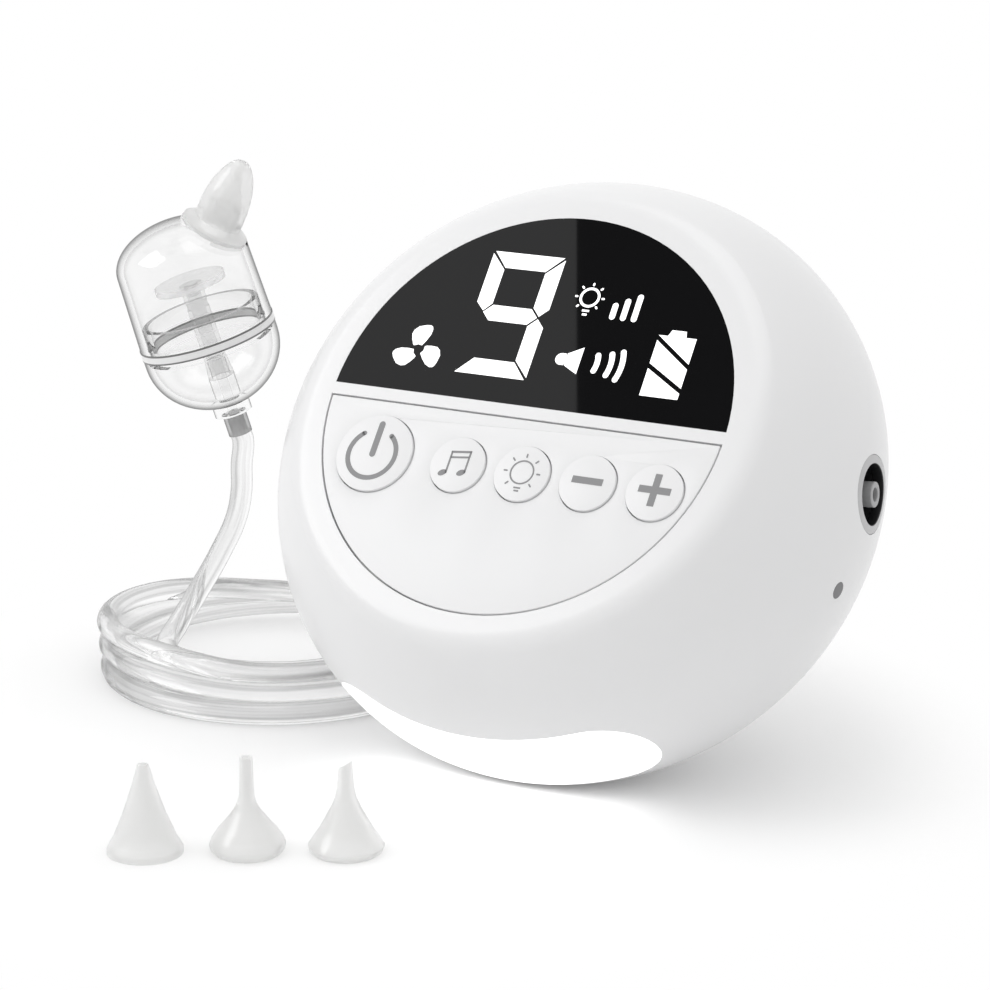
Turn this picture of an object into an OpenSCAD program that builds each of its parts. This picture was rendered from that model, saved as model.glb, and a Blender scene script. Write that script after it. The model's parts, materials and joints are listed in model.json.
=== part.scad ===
// Electric nasal aspirator: a round tabletop unit with a tilted face, its clear collection cup
// on a coiled hose, and three spare silicone tips.
// Millimetres, +Z up, front to -Y. The origin is the centre of the base foot's underside.

/* [Housing] */
// Diameter of the round housing
body_d = 120; // [116:1:128]
// Half depth of the housing along the face normal
body_half_depth = 45.5; // [44.5:0.5:50]
// Height of the flat face above the widest ring of the housing
face_height = 28.8; // [28:0.2:31]
// Tilt of the face above the horizontal
face_tilt = 39; // [34:1:44]
// Wall of both housing shells
wall = 2.4; // [2:0.1:2.8]
// Thickness of the face plate that carries the window and the panel
face_plate = 3.2; // [3:0.1:4]
// Radius that rounds the rim of the face
rim_round = 6; // [4:0.5:8]
// Distance of the shell seam behind the widest ring
seam_back = 22; // [20:0.5:24]
// Depth by which the standing flat cuts the round underside
base_cut = 1.4; // [1:0.1:2]

/* [Foot] */
// Radius of the round base foot
foot_r = 12; // [10:0.5:13]
// Height by which the foot stands below the shell's flat
foot_proud = 0.5; // [0.3:0.1:1]

/* [Face] */
// Radius of the display window and of the control panel pocket
display_r = 41; // [40:0.5:42]
// Half width of the white bridge between the window and the panel
bridge_half = 1.2; // [1:0.1:2]
// Thickness of the window and of the panel
panel_t = 1.7; // [1.5:0.1:2]
// Width of the groove round the control panel
panel_groove = 0.35; // [0.2:0.05:0.6]
// Width of the ledge under the edges of the window and of the panel
ledge = 1.2; // [1:0.1:1.3]

/* [Buttons] */
// Radius of the power button
power_r = 7.8; // [7:0.1:8]
// Radius of the four small buttons
key_r = 5.5; // [5:0.1:5.8]
// Distance of the button row below the middle of the face
key_row = 12.4; // [12:0.2:13]
// Pitch of the four small buttons
key_pitch = 13.5; // [13.2:0.1:14]
// Distance of the power button left of the middle of the face
power_left = 27.3; // [27:0.1:28]
// Distance of the first small button left of the middle of the face
music_left = 9.4; // [9:0.1:10]
// Clearance round each button cap
key_gap = 0.2; // [0.15:0.05:0.3]
// Height of the button caps above the panel
key_proud = 0.5; // [0.1:0.1:0.6]
// Travel of every button
key_travel = 0.5; // [0.3:0.1:0.6]

/* [Night light] */
// Half length of the night light lens
lens_half = 33; // [30:1:34]
// Half width of the night light lens
lens_r = 11.2; // [9:0.2:11.4]

/* [Air port] */
// Direction of the port round the face normal, from the right hand side
port_angle = 5; // [2:1:10]
// Outer radius of the grey port ring
port_ring_r = 7.4; // [7:0.1:8]
// Radius of the dark port recess
port_r = 5.7; // [5.2:0.1:6]
// Depth of the port recess
port_depth = 7.6; // [6:0.2:9]
// Outer radius of the spigot that takes the hose
spigot_r = 2.4; // [2.2:0.1:2.8]
// Bore radius of the spigot
spigot_bore_r = 1.3; // [1:0.1:1.5]
// Direction of the charge light round the face normal
charge_light_angle = -14; // [-20:1:-10]
// Radius of the charge light
charge_light_r = 1.6; // [1.2:0.1:2]

/* [Pump] */
// Radius of the pump motor
motor_r = 12; // [11:0.5:12.5]
// Length of the pump motor
motor_len = 30; // [26:1:32]
// Throw of the eccentric on the pump shaft
pump_throw = 1.5; // [1:0.1:2]
// Radius of the pump shaft
shaft_r = 1; // [0.8:0.1:1.5]
// Running clearance of the pump shaft
shaft_gap = 0.05; // [0.03:0.01:0.1]

/* [Battery and speaker] */
// Radius of the battery cell
cell_r = 9.2; // [8:0.1:9.3]
// Length of the battery cell
cell_len = 65; // [50:1:65]
// Radius of the speaker
speaker_r = 14; // [12:0.5:16]

/* [Cup] */
// Outer radius of the collection cup
cup_r = 14; // [13:0.1:16]
// Wall of the collection cup
cup_wall = 1.5; // [1.2:0.1:1.8]
// Depth of the bowl below the seal ring
bowl_depth = 15.4; // [14:0.2:18]
// Height of the dome above the seal ring
dome_height = 24.7; // [23:0.1:30]
// Height of the seal ring
seal_h = 2; // [1.6:0.2:3]
// Lean of the cup to the left
cup_lean = 17; // [0:1:30]
// Turn of the cup and its lean about the vertical
cup_turn = 39; // [0:1:60]
// Angle of the nozzle to the axis of the cup
spout_angle = 44; // [40:0.2:46]
// Outer radius of the spout under the nozzle
spout_r = 3.2; // [3:0.1:3.6]
// Radius of the baffle disc on the standpipe
baffle_r = 7.3; // [5:0.1:9]

/* [Silicone tips] */
// Base radius of the nozzle and of the three spare tips
tip_r = 6.9; // [6.5:0.1:7.5]
// Length of the nozzle
nozzle_len = 15.9; // [15:0.1:20]
// Height of the cone tip
cone_tip_h = 16.6; // [15:0.1:20]
// Height of the long tip
long_tip_h = 18; // [16:0.1:22]
// Height of the short tip
short_tip_h = 17.2; // [15:0.1:20]
// Wall of the silicone tips
tip_wall = 1.1; // [0.9:0.1:1.3]
// Suction hole radius in every tip
tip_hole_r = 0.7; // [0.5:0.05:0.9]

/* [Hose] */
// Outer diameter of the hose
hose_d = 4.5; // [4:0.1:5]
// Outer radius of the hose coil
coil_r = 38; // [36:0.5:38]
// Inner radius of the hose coil
coil_bore_r = 21.5; // [20:0.5:22]
// Height of the hose coil
coil_h = 13.4; // [12:0.2:14]

/* [Hidden] */
$fn = 72;
ball_fn = 180;
eps = 0.01;
far = 200;
slip = 0.1;

// Housing: a flattened ball about the face normal, cut by the face and by the standing flat
body_r = body_d / 2;
low_reach = sqrt(pow(body_half_depth * sin(face_tilt), 2) + pow(body_r * cos(face_tilt), 2));
centre_z = low_reach - base_cut;
flat_z = foot_proud;
seam_y = (seam_back - (centre_z - flat_z) * sin(face_tilt)) / cos(face_tilt);
seam_margin = 0.6;
centre_y = -foot_r - seam_y - seam_margin;
face_under = face_height - face_plate;
panel_under = face_height - panel_t;
inner_r = body_r - wall;
inner_half_depth = body_half_depth - wall;

// Shell screws and their bosses
shell_screw_angles = [50, 130, 200, 340];
boss_r = 4;
boss_to_wall = 0.5;
boss_rib = 2.7;
shell_screw_ring = inner_r * sqrt(1 - pow(seam_back / inner_half_depth, 2)) - boss_r - boss_to_wall;
screw_r = 1.4;
screw_head_r = 2.7;
screw_head_h = 1.6;
screw_len = 14;
screw_tip_gap = 1;
head_gap = 0.4;
boss_floor = 3;

// Keypad, switches and display board behind the face
key_x = [for (i = [0:3]) -music_left + i * key_pitch];
key_places = concat([[-power_left, power_r]], [for (x = key_x) [x, key_r]]);
key_flange = 0.6;
key_flange_t = 0.8;
key_window_edge = 1.6;
key_window = [power_left + power_r + key_window_edge, key_x[3] + key_r + key_window_edge,
    power_r + key_window_edge];
key_post_r = 1.8;
key_post_end = face_under - key_gap;
dome_top = key_post_end - key_travel - slip;
dome_r = 3.4;
dome_h = 1.2;
mat_t = 1;
mat_rim = 1.2;
mat_top = dome_top - dome_h;
switch_size = 6;
switch_h = 1.5;
board_top = mat_top - mat_t - slip - switch_h;
board_t = 1.6;
board_post_r = 2.5;
board_screw_ring = display_r + 0.4;
board_r = board_screw_ring + 3.1;
board_screw_angles = [30, 150, 228, 312];
board_screw_r = 1;
board_screw_head = 1.4;
board_screw_grip = 3;
block_half = 25;
block_low = 5.5;
block_high = 27;

// Air port on the widest ring
port_wall = 1.5;
port_floor = 1.5;
spigot_tail = 6;
spigot_flange_r = 4;
spigot_shank_r = 3;
port_seat = body_r - wall - key_gap;
port_base = body_r - port_depth - port_floor;
sleeve_gap = 0.05;

// Light board behind the lens, and the battery above it
lens_flange_t = 1;
lens_flange_w = 1.6;
light_board_half = [27, 7.5];
led_count = 6;
led_pitch = 9;
led_size = 3;
led_h = 1.4;
led_to_lens = 1.3;
light_pipe_in = 4;
lens_inside = ball_r(inner_r - lens_flange_t, inner_half_depth - lens_flange_t, light_board_half[1]);
light_board_y = led_h + led_to_lens - sqrt(pow(lens_inside, 2) - pow(light_board_half[0], 2));
cell_to_board = 6.8;
cell_y = light_board_y + cell_to_board + cell_r;
cell_z = -10;
rest_gap = 0.1;
post_r = 3;
cradle_base = [56, 16, 6];
cradle_back = cell_z - cell_r - 2.3;
cradle_post_x = 22;
cradle_arm = 4;
cradle_arm_x = 14;
cradle_finger = 3.5;

// Pump high in the back, its shaft along X
pump_y = 14;
pump_z = -8;
motor_end = -10;
head_len = 16;
head_half = 13;
chamber_r = 7;
chamber_len = 12;
diaphragm_t = 1.2;
diaphragm_r = 11;
cap_len = 6;
valve_depth = 2;
nipple_r = 2;
nipple_bore_r = 1.2;
nipple_len = 7;
nipple_y = 5;
suction_tube_r = 3;
tube_on_nipple = 0.15;
head_end = motor_end + head_len;
cap_start = head_end + diaphragm_t;
cap_end = cap_start + cap_len;
eccentric_r = 4.5;
eccentric_len = 6;
eccentric_start = 2.5;
shaft_in = 2;
shaft_out = 2.5;
motor_boss_r = 3.2;
motor_boss_h = 1.5;
rod_hole_r = 2;
pump_screw_ring = 13;
pump_screw_grip = 5;
bracket_foot = 3;
saddle_h = 6;
bracket_back = pump_z - motor_r - bracket_foot;
pump_post_x = [-30, 10];

// Speaker, charging socket and its board in the rear cover
speaker_t = 4.5;
speaker_fence = 1.5;
speaker_front = -ball_r(inner_half_depth, inner_r, speaker_r) + key_gap;
grille_hole_r = 1;
usb_y = -30;
usb_half = [4.6, 1.6];
usb_len = 7.5;
usb_face = -ball_r(body_half_depth, body_r, usb_y - usb_half[1]) + 0.4;
usb_board_w = 20;
usb_board_in = 4.3;
usb_board_end = cradle_back - 0.8;
usb_rail = [2, 6];

// Collection cup about its own axis, its origin in the middle of the seal ring
cup_pos = [-86.6, 4.7, 71.9];
cup_bore_r = cup_r - cup_wall;
bowl_straight = 3;
neck_r = cup_bore_r - 0.25;
neck_wall = 1.3;
neck_h = 5;
dome_r_top = cup_r - 0.4;
dome_cap_h = 8.3;
dome_straight = dome_height - dome_cap_h;
spout_turn = -19;
spout_out = 0.61 * dome_r_top;
spout_up = 0.49 * dome_cap_h;
spout_seat_r = tip_r + 0.2;
spout_seat_h = 2.4;
spout_len = 6;
spout_bore_r = 2;
collar_r = 3.9;
collar_h = 1.8;
outlet_bore_r = 1;
nipple_hose_r = 1.6;
sleeve_len = 4.6;
sleeve_r = hose_d / 2 + 0.2;
stem_r = 2.3;
stem_wide_r = 2.7;
stem_wide_h = 4.6;
stem_bore_r = 1.4;
plug_r = 1.9;
plug_h = 4;
bowl_nipple_h = 2.8;
socket_top = -9.2;
stem_top = 10.6;
baffle_t = 1.4;
baffle_plug_h = 2;

// Silicone tips: outlines as pairs of radius and height, both as shares of base and height
cone_shape = [[0.97, 0], [1, 0.05], [0.94, 0.1], [0.84, 0.17], [0.545, 0.47], [0.3, 0.77], [0.2, 0.92],
    [0.14, 1]];
long_shape = [[0.87, 0], [0.96, 0.04], [1, 0.08], [0.95, 0.14], [0.79, 0.235], [0.6, 0.32],
    [0.455, 0.39], [0.34, 0.45], [0.25, 0.52], [0.2, 0.6], [0.185, 0.75], [0.175, 0.9], [0.17, 1]];
short_shape = [[0.87, 0], [0.96, 0.03], [1, 0.08], [0.91, 0.14], [0.72, 0.25], [0.57, 0.36],
    [0.41, 0.48], [0.28, 0.6], [0.22, 0.72], [0.19, 0.88], [0.17, 1]];
nozzle_shape = concat([[1, 0.05]], [for (a = [0:7.5:75]) [cos(a), 0.3 + 0.7 * pow(sin(a), 1.08)]]);
cone_tip_pos = [-40.5, -87.5];
long_tip_pos = [-24.5, -78.5];
short_tip_pos = [-9, -70];
lip_h = 0.8;
nozzle_step = 2;
nozzle_flare = 1.6;
nozzle_lead = 3.2;
nozzle_bend = 3;
nozzle_tuck = 0.3;
short_cut = 35;
short_cut_down = 1.6;

// Hose: hand-chosen points from the cup down into the coil
coil_pos = [-76, 13];
hose_sides = 8;
coil_edge = 1;
hose_route = [[-81.35, 8.4, 44.5], [-81.4, 8.2, 39], [-82.6, 7.9, 33.2], [-85.6, 6.6, 26],
    [-89.9, 3.8, 17], [-92.5, 0, 10.5], [-92.5, -4, 7.7], [-90.5, -6.5, 7]];
cup_down = [sin(cup_lean) * cos(cup_turn), sin(cup_lean) * sin(cup_turn), -cos(cup_lean)];
sleeve_top = bowl_depth + collar_h;
hose_start = cup_pos + cup_down * (sleeve_top + sleeve_len);
hose_next = hose_start + cup_down * hose_d / 3;

// ---- Functions ----

// Radius of a flattened ball at height z
function ball_r(r, h, z) = r * sqrt(max(0, 1 - pow(z / h, 2)));

// Outline points of a flattened ball between two heights, going up
function ball_points(r, h, z0, z1, steps) = [
    for (i = [0:steps])
        let (a = asin(z0 / h) + (asin(z1 / h) - asin(z0 / h)) * i / steps) [r * cos(a), h * sin(a)]
];

// Unit vector
function unit(v) = v / norm(v);

// Direction of a path at one of its points
function path_dir(path, i) = unit(path[min(i + 1, len(path) - 1)] - path[max(i - 1, 0)]);

// Ring of points round a path
function ring_points(path, i, r, sides) =
    let (d = path_dir(path, i), side = unit(cross(d, [0.3, 1, 0.2])), up = cross(side, d))
    [for (k = [0:sides - 1]) path[i] + r * (side * cos(360 * k / sides) + up * sin(360 * k / sides))];

// ---- Shared shapes ----

// Closed tube swept along a path of points
module swept_tube(path, r, sides) {
    rings = len(path);
    points = [for (i = [0:rings - 1]) each ring_points(path, i, r, sides)];
    walls = [
        for (i = [0:rings - 2], k = [0:sides - 1])
            let (n = (k + 1) % sides)
            [i * sides + k, i * sides + n, (i + 1) * sides + n, (i + 1) * sides + k]
    ];
    start_cap = [[for (k = [sides - 1:-1:0]) k]];
    end_cap = [[for (k = [0:sides - 1]) (rings - 1) * sides + k]];
    polyhedron(points, concat(walls, start_cap, end_cap));
}

// Round tube
module tube(r, bore, h) {
    difference() {
        cylinder(r = r, h = h);
        translate([0, 0, -eps]) cylinder(r = bore, h = h + 2 * eps);
    }
}

// Part of a disc between two heights
module disc_segment(r, y_low, y_high, h) {
    intersection() {
        cylinder(r = r, h = h);
        translate([-r, y_low, 0]) cube([2 * r, y_high - y_low, h]);
    }
}

// Places its children in the frame of the face: X right, Y up the face, Z out of it
module face_frame() {
    translate([0, centre_y, centre_z]) rotate([90 - face_tilt, 0, 0]) children();
}

// Places its children on the widest ring, Z pointing out of the housing
module ring_frame(angle) {
    face_frame() rotate([0, 0, angle]) rotate([0, 90, 0]) children();
}

// Places its children in the frame of the pump: Z along the shaft, X into the housing
module pump_frame() {
    face_frame() translate([0, pump_y, pump_z]) rotate([0, 90, 0]) children();
}

// Places its children in the frame of the cup
module cup_frame() {
    translate(cup_pos) rotate([0, 0, cup_turn]) rotate([0, -cup_lean, 0]) children();
}

// Places its children on the spout of the dome
module spout_frame() {
    cup_frame() rotate([0, 0, spout_turn]) translate([spout_out, 0, dome_straight + spout_up])
        rotate([0, spout_angle, 0]) children();
}

// Housing outline, set in by a distance, from the back up to a height; rounded at the face rim
module ball_solid(inset, z0, z1) {
    r = body_r - inset;
    h = body_half_depth - inset;
    rotate_extrude($fn = ball_fn)
        polygon(concat([[0, z0]], ball_points(r, h, z0, z1, 30), [[0, z1]]));
}

// Outer form of the housing with the rounded rim of the face
module housing_form() {
    rim_angle = 43;
    rim_z = face_height - rim_round * (1 - cos(rim_angle));
    rim_r = ball_r(body_r, body_half_depth, rim_z);
    rim_points = [
        for (i = [1:8])
            let (a = rim_angle * (1 - i / 8))
            [rim_r - rim_round * (sin(rim_angle) - sin(a)), face_height - rim_round * (1 - cos(a))]
    ];
    back = -body_half_depth + eps;
    rotate_extrude($fn = ball_fn)
        polygon(concat([[0, back]], ball_points(body_r, body_half_depth, back, rim_z, 48), rim_points,
            [[0, face_height]]));
}

// Hollow of the housing, with a thicker floor over the standing flat
module housing_hollow() {
    difference() {
        face_frame() ball_solid(wall, -inner_half_depth + eps, face_under);
        translate([-far, -far, flat_z - far + wall]) cube([2 * far, 2 * far, far]);
    }
}

// Housing wall, cut flat underneath
module housing_wall() {
    difference() {
        face_frame() housing_form();
        housing_hollow();
        translate([-far, -far, flat_z - far]) cube([2 * far, 2 * far, far]);
    }
}

// Block in front of the seam
module ahead_of_seam() {
    face_frame() translate([-far, -far, -seam_back]) cube([2 * far, 2 * far, far]);
}

// Block behind the seam
module behind_seam() {
    face_frame() translate([-far, -far, -seam_back - far]) cube([2 * far, 2 * far, far]);
}

// Long round-ended prism through the front of the housing, seen along the face
module lens_prism(r) {
    face_frame() rotate([90, 0, 0]) translate([0, 0, body_r / 2]) linear_extrude(body_r) {
        square([2 * (lens_half - lens_r), 2 * r], center = true);
        for (x = [-1, 1]) translate([x * (lens_half - lens_r), 0]) circle(r = r);
    }
}

// Button cap with its flange and its post
module button(x, r) {
    flange_low = panel_under - slip - key_flange_t;
    face_frame() translate([x, -key_row, 0]) {
        translate([0, 0, flange_low]) cylinder(r = r, h = face_height + key_proud - flange_low);
        translate([0, 0, flange_low]) cylinder(r = r + key_flange, h = key_flange_t);
        translate([0, 0, key_post_end]) cylinder(r = key_post_r, h = panel_under - key_post_end);
    }
}

// Window in the face plate for the flanges of the buttons, grown by a margin
module key_opening(margin, h) {
    intersection() {
        translate([-key_window[0] - margin, -key_row - key_window[2] - margin, 0])
            cube([key_window[0] + key_window[1] + 2 * margin, 2 * (key_window[2] + margin), h]);
        cylinder(r = display_r - ledge + margin, h = h);
    }
}

// Round solid turned from an outline of shares
module turned(shape, r, h) {
    rotate_extrude()
        polygon(concat([[0, 0]], [for (p = shape) [p[0] * r, p[1] * h]], [[0, h]]));
}

// Hollow silicone tip turned from an outline of shares
module hollow_tip(shape, h) {
    difference() {
        turned(shape, tip_r, h);
        translate([0, 0, -eps]) rotate_extrude()
            polygon(concat([[0, 0]],
                [for (p = shape) [max(tip_hole_r, p[0] * tip_r - tip_wall), p[1] * h]],
                [[tip_hole_r, h + 1], [0, h + 1]]));
    }
}

// ---- Housing ----

module front_shell() {
    color("white") difference() {
        union() {
            intersection() {
                housing_wall();
                ahead_of_seam();
            }
            for (a = board_screw_angles) face_frame() rotate([0, 0, a])
                translate([board_screw_ring, 0, board_top])
                    cylinder(r = board_post_r, h = face_under - board_top + eps);
            intersection() {
                face_frame() ball_solid(wall / 2, -seam_back, seam_back);
                for (a = shell_screw_angles) face_frame() rotate([0, 0, a])
                    translate([shell_screw_ring, 0, -seam_back]) {
                        cylinder(r = boss_r, h = screw_len);
                        translate([0, -boss_rib / 2, 0]) cube([far, boss_rib, screw_len]);
                    }
            }
        }
        face_frame() translate([0, 0, panel_under]) {
            disc_segment(display_r, bridge_half, far, far);
            disc_segment(display_r, -far, -bridge_half, far);
        }
        face_frame() translate([0, 0, face_under - 1]) {
            disc_segment(display_r - ledge, bridge_half + ledge, far, far);
            key_opening(0, far);
            for (k = key_places) translate([k[0], -key_row, 0])
                cylinder(r = k[1] + key_flange + key_gap, h = face_height - face_under + 2);
        }
        for (a = board_screw_angles) face_frame() rotate([0, 0, a])
            translate([board_screw_ring, 0, board_top - eps])
                cylinder(r = board_screw_r + sleeve_gap, h = face_under - board_top);
        for (a = shell_screw_angles) face_frame() rotate([0, 0, a])
            translate([shell_screw_ring, 0, -seam_back - eps])
                cylinder(r = screw_r + sleeve_gap, h = screw_len - boss_floor + screw_tip_gap);
        lens_prism(lens_r + slip);
        ring_frame(port_angle) cylinder(r = port_ring_r + sleeve_gap, h = far);
        ring_frame(charge_light_angle) cylinder(r = charge_light_r + sleeve_gap, h = far);
    }
}

module rear_cover() {
    color("white") difference() {
        union() {
            intersection() {
                housing_wall();
                behind_seam();
            }
            intersection() {
                face_frame() ball_solid(wall / 2, -body_half_depth + wall, -seam_back);
                face_frame() {
                    for (a = shell_screw_angles) rotate([0, 0, a])
                        translate([shell_screw_ring, 0, -body_half_depth]) {
                            cylinder(r = boss_r, h = body_half_depth - seam_back);
                            translate([0, -boss_rib / 2, 0])
                                cube([far, boss_rib, body_half_depth - seam_back]);
                        }
                    translate([0, 0, -body_half_depth])
                        tube(speaker_r + key_gap + speaker_fence, speaker_r + key_gap,
                            body_half_depth + speaker_front + speaker_t);
                    for (x = pump_post_x) translate([x, pump_y, -body_half_depth])
                        cylinder(r = post_r, h = body_half_depth + bracket_back);
                    for (x = [-1, 1]) translate([x * cradle_post_x, cell_y, -body_half_depth])
                        cylinder(r = post_r, h = body_half_depth + cradle_back);
                    for (x = [-1, 1])
                        translate([x * (usb_board_w + usb_rail[0]) / 2 - usb_rail[0] / 2,
                            usb_y - usb_half[1] - usb_rail[1] + 2, -body_half_depth])
                            cube([usb_rail[0], usb_rail[1], body_half_depth + usb_board_end]);
                }
            }
        }
        for (a = shell_screw_angles) face_frame() rotate([0, 0, a]) translate([shell_screw_ring, 0, 0]) {
            translate([0, 0, -far]) cylinder(r = screw_head_r + head_gap, h = far - seam_back - boss_floor);
            translate([0, 0, -far]) cylinder(r = screw_r + head_gap / 2, h = far);
        }
        face_frame() translate([0, 0, -far]) {
            cylinder(r = grille_hole_r, h = far - seam_back);
            for (ring = [1:2], i = [0:ring * 6 - 1]) rotate([0, 0, i * 60 / ring])
                translate([ring * speaker_r / 3, 0, 0]) cylinder(r = grille_hole_r, h = far - seam_back);
        }
        face_frame() translate([0, usb_y, -far])
            linear_extrude(far - seam_back) usb_outline(0.15);
    }
}

module base_foot() {
    color("gainsboro") difference() {
        cylinder(r = foot_r, h = foot_r * 0.7);
        difference() {
            face_frame() housing_form();
            translate([-far, -far, flat_z - far]) cube([2 * far, 2 * far, far]);
        }
        ahead_of_seam();
    }
}

// ---- Face ----

module display_window() {
    color([0.08, 0.08, 0.09]) face_frame() translate([0, 0, panel_under])
        disc_segment(display_r - sleeve_gap, bridge_half + sleeve_gap, far, panel_t);
}

module control_panel() {
    color("white") face_frame() translate([0, 0, panel_under]) difference() {
        disc_segment(display_r - panel_groove, -far, -bridge_half - panel_groove, panel_t);
        for (k = key_places) translate([k[0], -key_row, -1])
            cylinder(r = k[1] + key_gap, h = panel_t + 2);
    }
}

module power_button() {
    color("whitesmoke") button(-power_left, power_r);
}

module music_button() {
    color("whitesmoke") button(key_x[0], key_r);
}

module light_button() {
    color("whitesmoke") button(key_x[1], key_r);
}

module minus_button() {
    color("whitesmoke") button(key_x[2], key_r);
}

module plus_button() {
    color("whitesmoke") button(key_x[3], key_r);
}

module keypad_mat() {
    color("lightgray") face_frame() {
        translate([0, 0, mat_top - mat_t]) difference() {
            key_opening(mat_rim, face_under - mat_top + mat_t);
            translate([0, 0, mat_t]) key_opening(0, far);
        }
        for (k = key_places) translate([k[0], -key_row, mat_top - eps])
            cylinder(r1 = dome_r, r2 = key_post_r + key_gap, h = dome_h + eps);
    }
}

module key_switches() {
    color("black") face_frame() for (k = key_places)
        translate([k[0] - switch_size / 2, -key_row - switch_size / 2, board_top])
            cube([switch_size, switch_size, switch_h]);
}

module display_board() {
    color("green") face_frame() translate([0, 0, board_top - board_t]) difference() {
        cylinder(r = board_r, h = board_t);
        for (a = board_screw_angles) rotate([0, 0, a]) translate([board_screw_ring, 0, -1])
            cylinder(r = board_screw_r + slip, h = board_t + 2);
    }
}

module display_block() {
    color("dimgray") face_frame() translate([-block_half, block_low, board_top])
        cube([2 * block_half, block_high - block_low, panel_under - slip - board_top]);
}

module board_screws() {
    color("silver") face_frame() for (a = board_screw_angles) rotate([0, 0, a])
        translate([board_screw_ring, 0, board_top - board_t - board_screw_head]) {
            cylinder(r = board_screw_r * 2, h = board_screw_head);
            cylinder(r = board_screw_r, h = board_screw_head + board_t + board_screw_grip);
        }
}

// ---- Lights ----

module night_light_lens() {
    color("white") {
        intersection() {
            face_frame() difference() {
                ball_solid(0, -seam_back, seam_back);
                ball_solid(wall + lens_flange_t, -far / 8, far / 8);
            }
            lens_prism(lens_r);
        }
        intersection() {
            face_frame() difference() {
                ball_solid(wall + sleeve_gap, -seam_back + slip, seam_back);
                ball_solid(wall + lens_flange_t, -far / 8, far / 8);
            }
            lens_prism(lens_r + lens_flange_w);
            translate([-far, -far, flat_z + wall + slip]) cube(2 * far);
        }
    }
}

module light_board() {
    color("green") face_frame()
        translate([-light_board_half[0], light_board_y, -light_board_half[1]])
            cube([2 * light_board_half[0], board_t, 2 * light_board_half[1]]);
}

module glow_leds() {
    first = -(led_count - 1) / 2 * led_pitch - led_size / 2;
    color("lightyellow") face_frame() for (i = [0:led_count - 1])
        translate([first + i * led_pitch, light_board_y - led_h, -led_size / 2])
            cube([led_size, led_h, led_size]);
}

module charge_light() {
    color("gray") intersection() {
        ring_frame(charge_light_angle) translate([0, 0, body_r - wall - light_pipe_in])
            cylinder(r = charge_light_r, h = far);
        face_frame() ball_solid(0, -seam_back, seam_back);
    }
}

// ---- Air port and pump ----

module port_ring() {
    color("silver") intersection() {
        ring_frame(port_angle) translate([0, 0, port_seat]) tube(port_ring_r, port_r, far);
        face_frame() ball_solid(0, -seam_back, seam_back);
    }
}

module port_cup() {
    color("black") ring_frame(port_angle) translate([0, 0, port_base]) difference() {
        cylinder(r = port_ring_r, h = port_seat - port_base);
        translate([0, 0, port_floor]) cylinder(r = port_r, h = far);
        translate([0, 0, -1]) cylinder(r = spigot_shank_r + sleeve_gap, h = far);
    }
}

module air_spigot() {
    color("gray") ring_frame(port_angle) translate([0, 0, port_base]) difference() {
        union() {
            translate([0, 0, -spigot_tail]) cylinder(r = nipple_r, h = spigot_tail);
            translate([0, 0, -port_floor]) cylinder(r = spigot_flange_r, h = port_floor);
            translate([0, 0, -eps]) cylinder(r = spigot_shank_r, h = port_floor + eps);
            translate([0, 0, port_floor - eps]) cylinder(r = spigot_r, h = port_depth + eps);
        }
        translate([0, 0, -spigot_tail - 1]) cylinder(r = spigot_bore_r, h = far);
    }
}

module suction_tube() {
    tube_sides = 12;
    end_gap = 1;
    straight = 4;
    tail = port_base - spigot_tail;
    out = [cos(port_angle), sin(port_angle), 0];
    from = [cap_end, pump_y - nipple_y, pump_z];
    pump_tip = from + [nipple_len, 0, 0];
    path = [
        from + [end_gap, 0, 0], pump_tip, pump_tip + [straight, -0.5, 1],
        (pump_tip + out * tail) / 2,
        out * (tail - straight) + [0, 0.5, -1], out * tail, out * (port_base - port_floor - end_gap)
    ];
    lumen = concat([path[0] - [end_gap, 0, 0]], path, [path[6] + out]);
    color("lightcyan") face_frame() difference() {
        swept_tube(path, suction_tube_r, tube_sides);
        swept_tube(lumen, nipple_r + tube_on_nipple, tube_sides);
    }
}

module pump_bracket() {
    set_in = 2;
    color("dimgray") face_frame() difference() {
        translate([motor_end - motor_len + set_in, pump_y - motor_r, bracket_back])
            cube([motor_len + head_len + set_in, 2 * motor_r, saddle_h]);
        translate([-far, pump_y, pump_z]) rotate([0, 90, 0])
            cylinder(r = motor_r + sleeve_gap, h = far + motor_end + sleeve_gap);
        translate([motor_end, pump_y - far, pump_z - head_half - sleeve_gap]) cube([far, 2 * far, far]);
    }
}

module pump_motor() {
    color("silver") pump_frame() difference() {
        union() {
            translate([0, 0, motor_end - motor_len]) cylinder(r = motor_r, h = motor_len);
            translate([0, 0, motor_end - eps]) cylinder(r = motor_boss_r, h = motor_boss_h);
        }
        translate([0, 0, motor_end - motor_len + shaft_in / 2])
            cylinder(r = shaft_r + shaft_gap, h = far);
    }
}

module pump_rotor() {
    color("gray") pump_frame() {
        translate([0, 0, motor_end - motor_len + shaft_in])
            cylinder(r = shaft_r, h = motor_len - shaft_in + eccentric_start + eccentric_len + shaft_out);
        translate([-pump_throw, 0, motor_end + eccentric_start])
            cylinder(r = eccentric_r, h = eccentric_len);
    }
}

module pump_head() {
    color("black") pump_frame() translate([0, 0, motor_end]) difference() {
        translate([-head_half, -head_half, 0]) cube([2 * head_half, 2 * head_half, head_len]);
        translate([0, 0, -1]) cylinder(r = chamber_r, h = chamber_len + 1);
        cylinder(r = rod_hole_r, h = far);
        for (a = [45:90:315]) rotate([0, 0, a])
            translate([pump_screw_ring, 0, head_len - pump_screw_grip - screw_tip_gap])
                cylinder(r = screw_r + sleeve_gap, h = far);
    }
}

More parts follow.
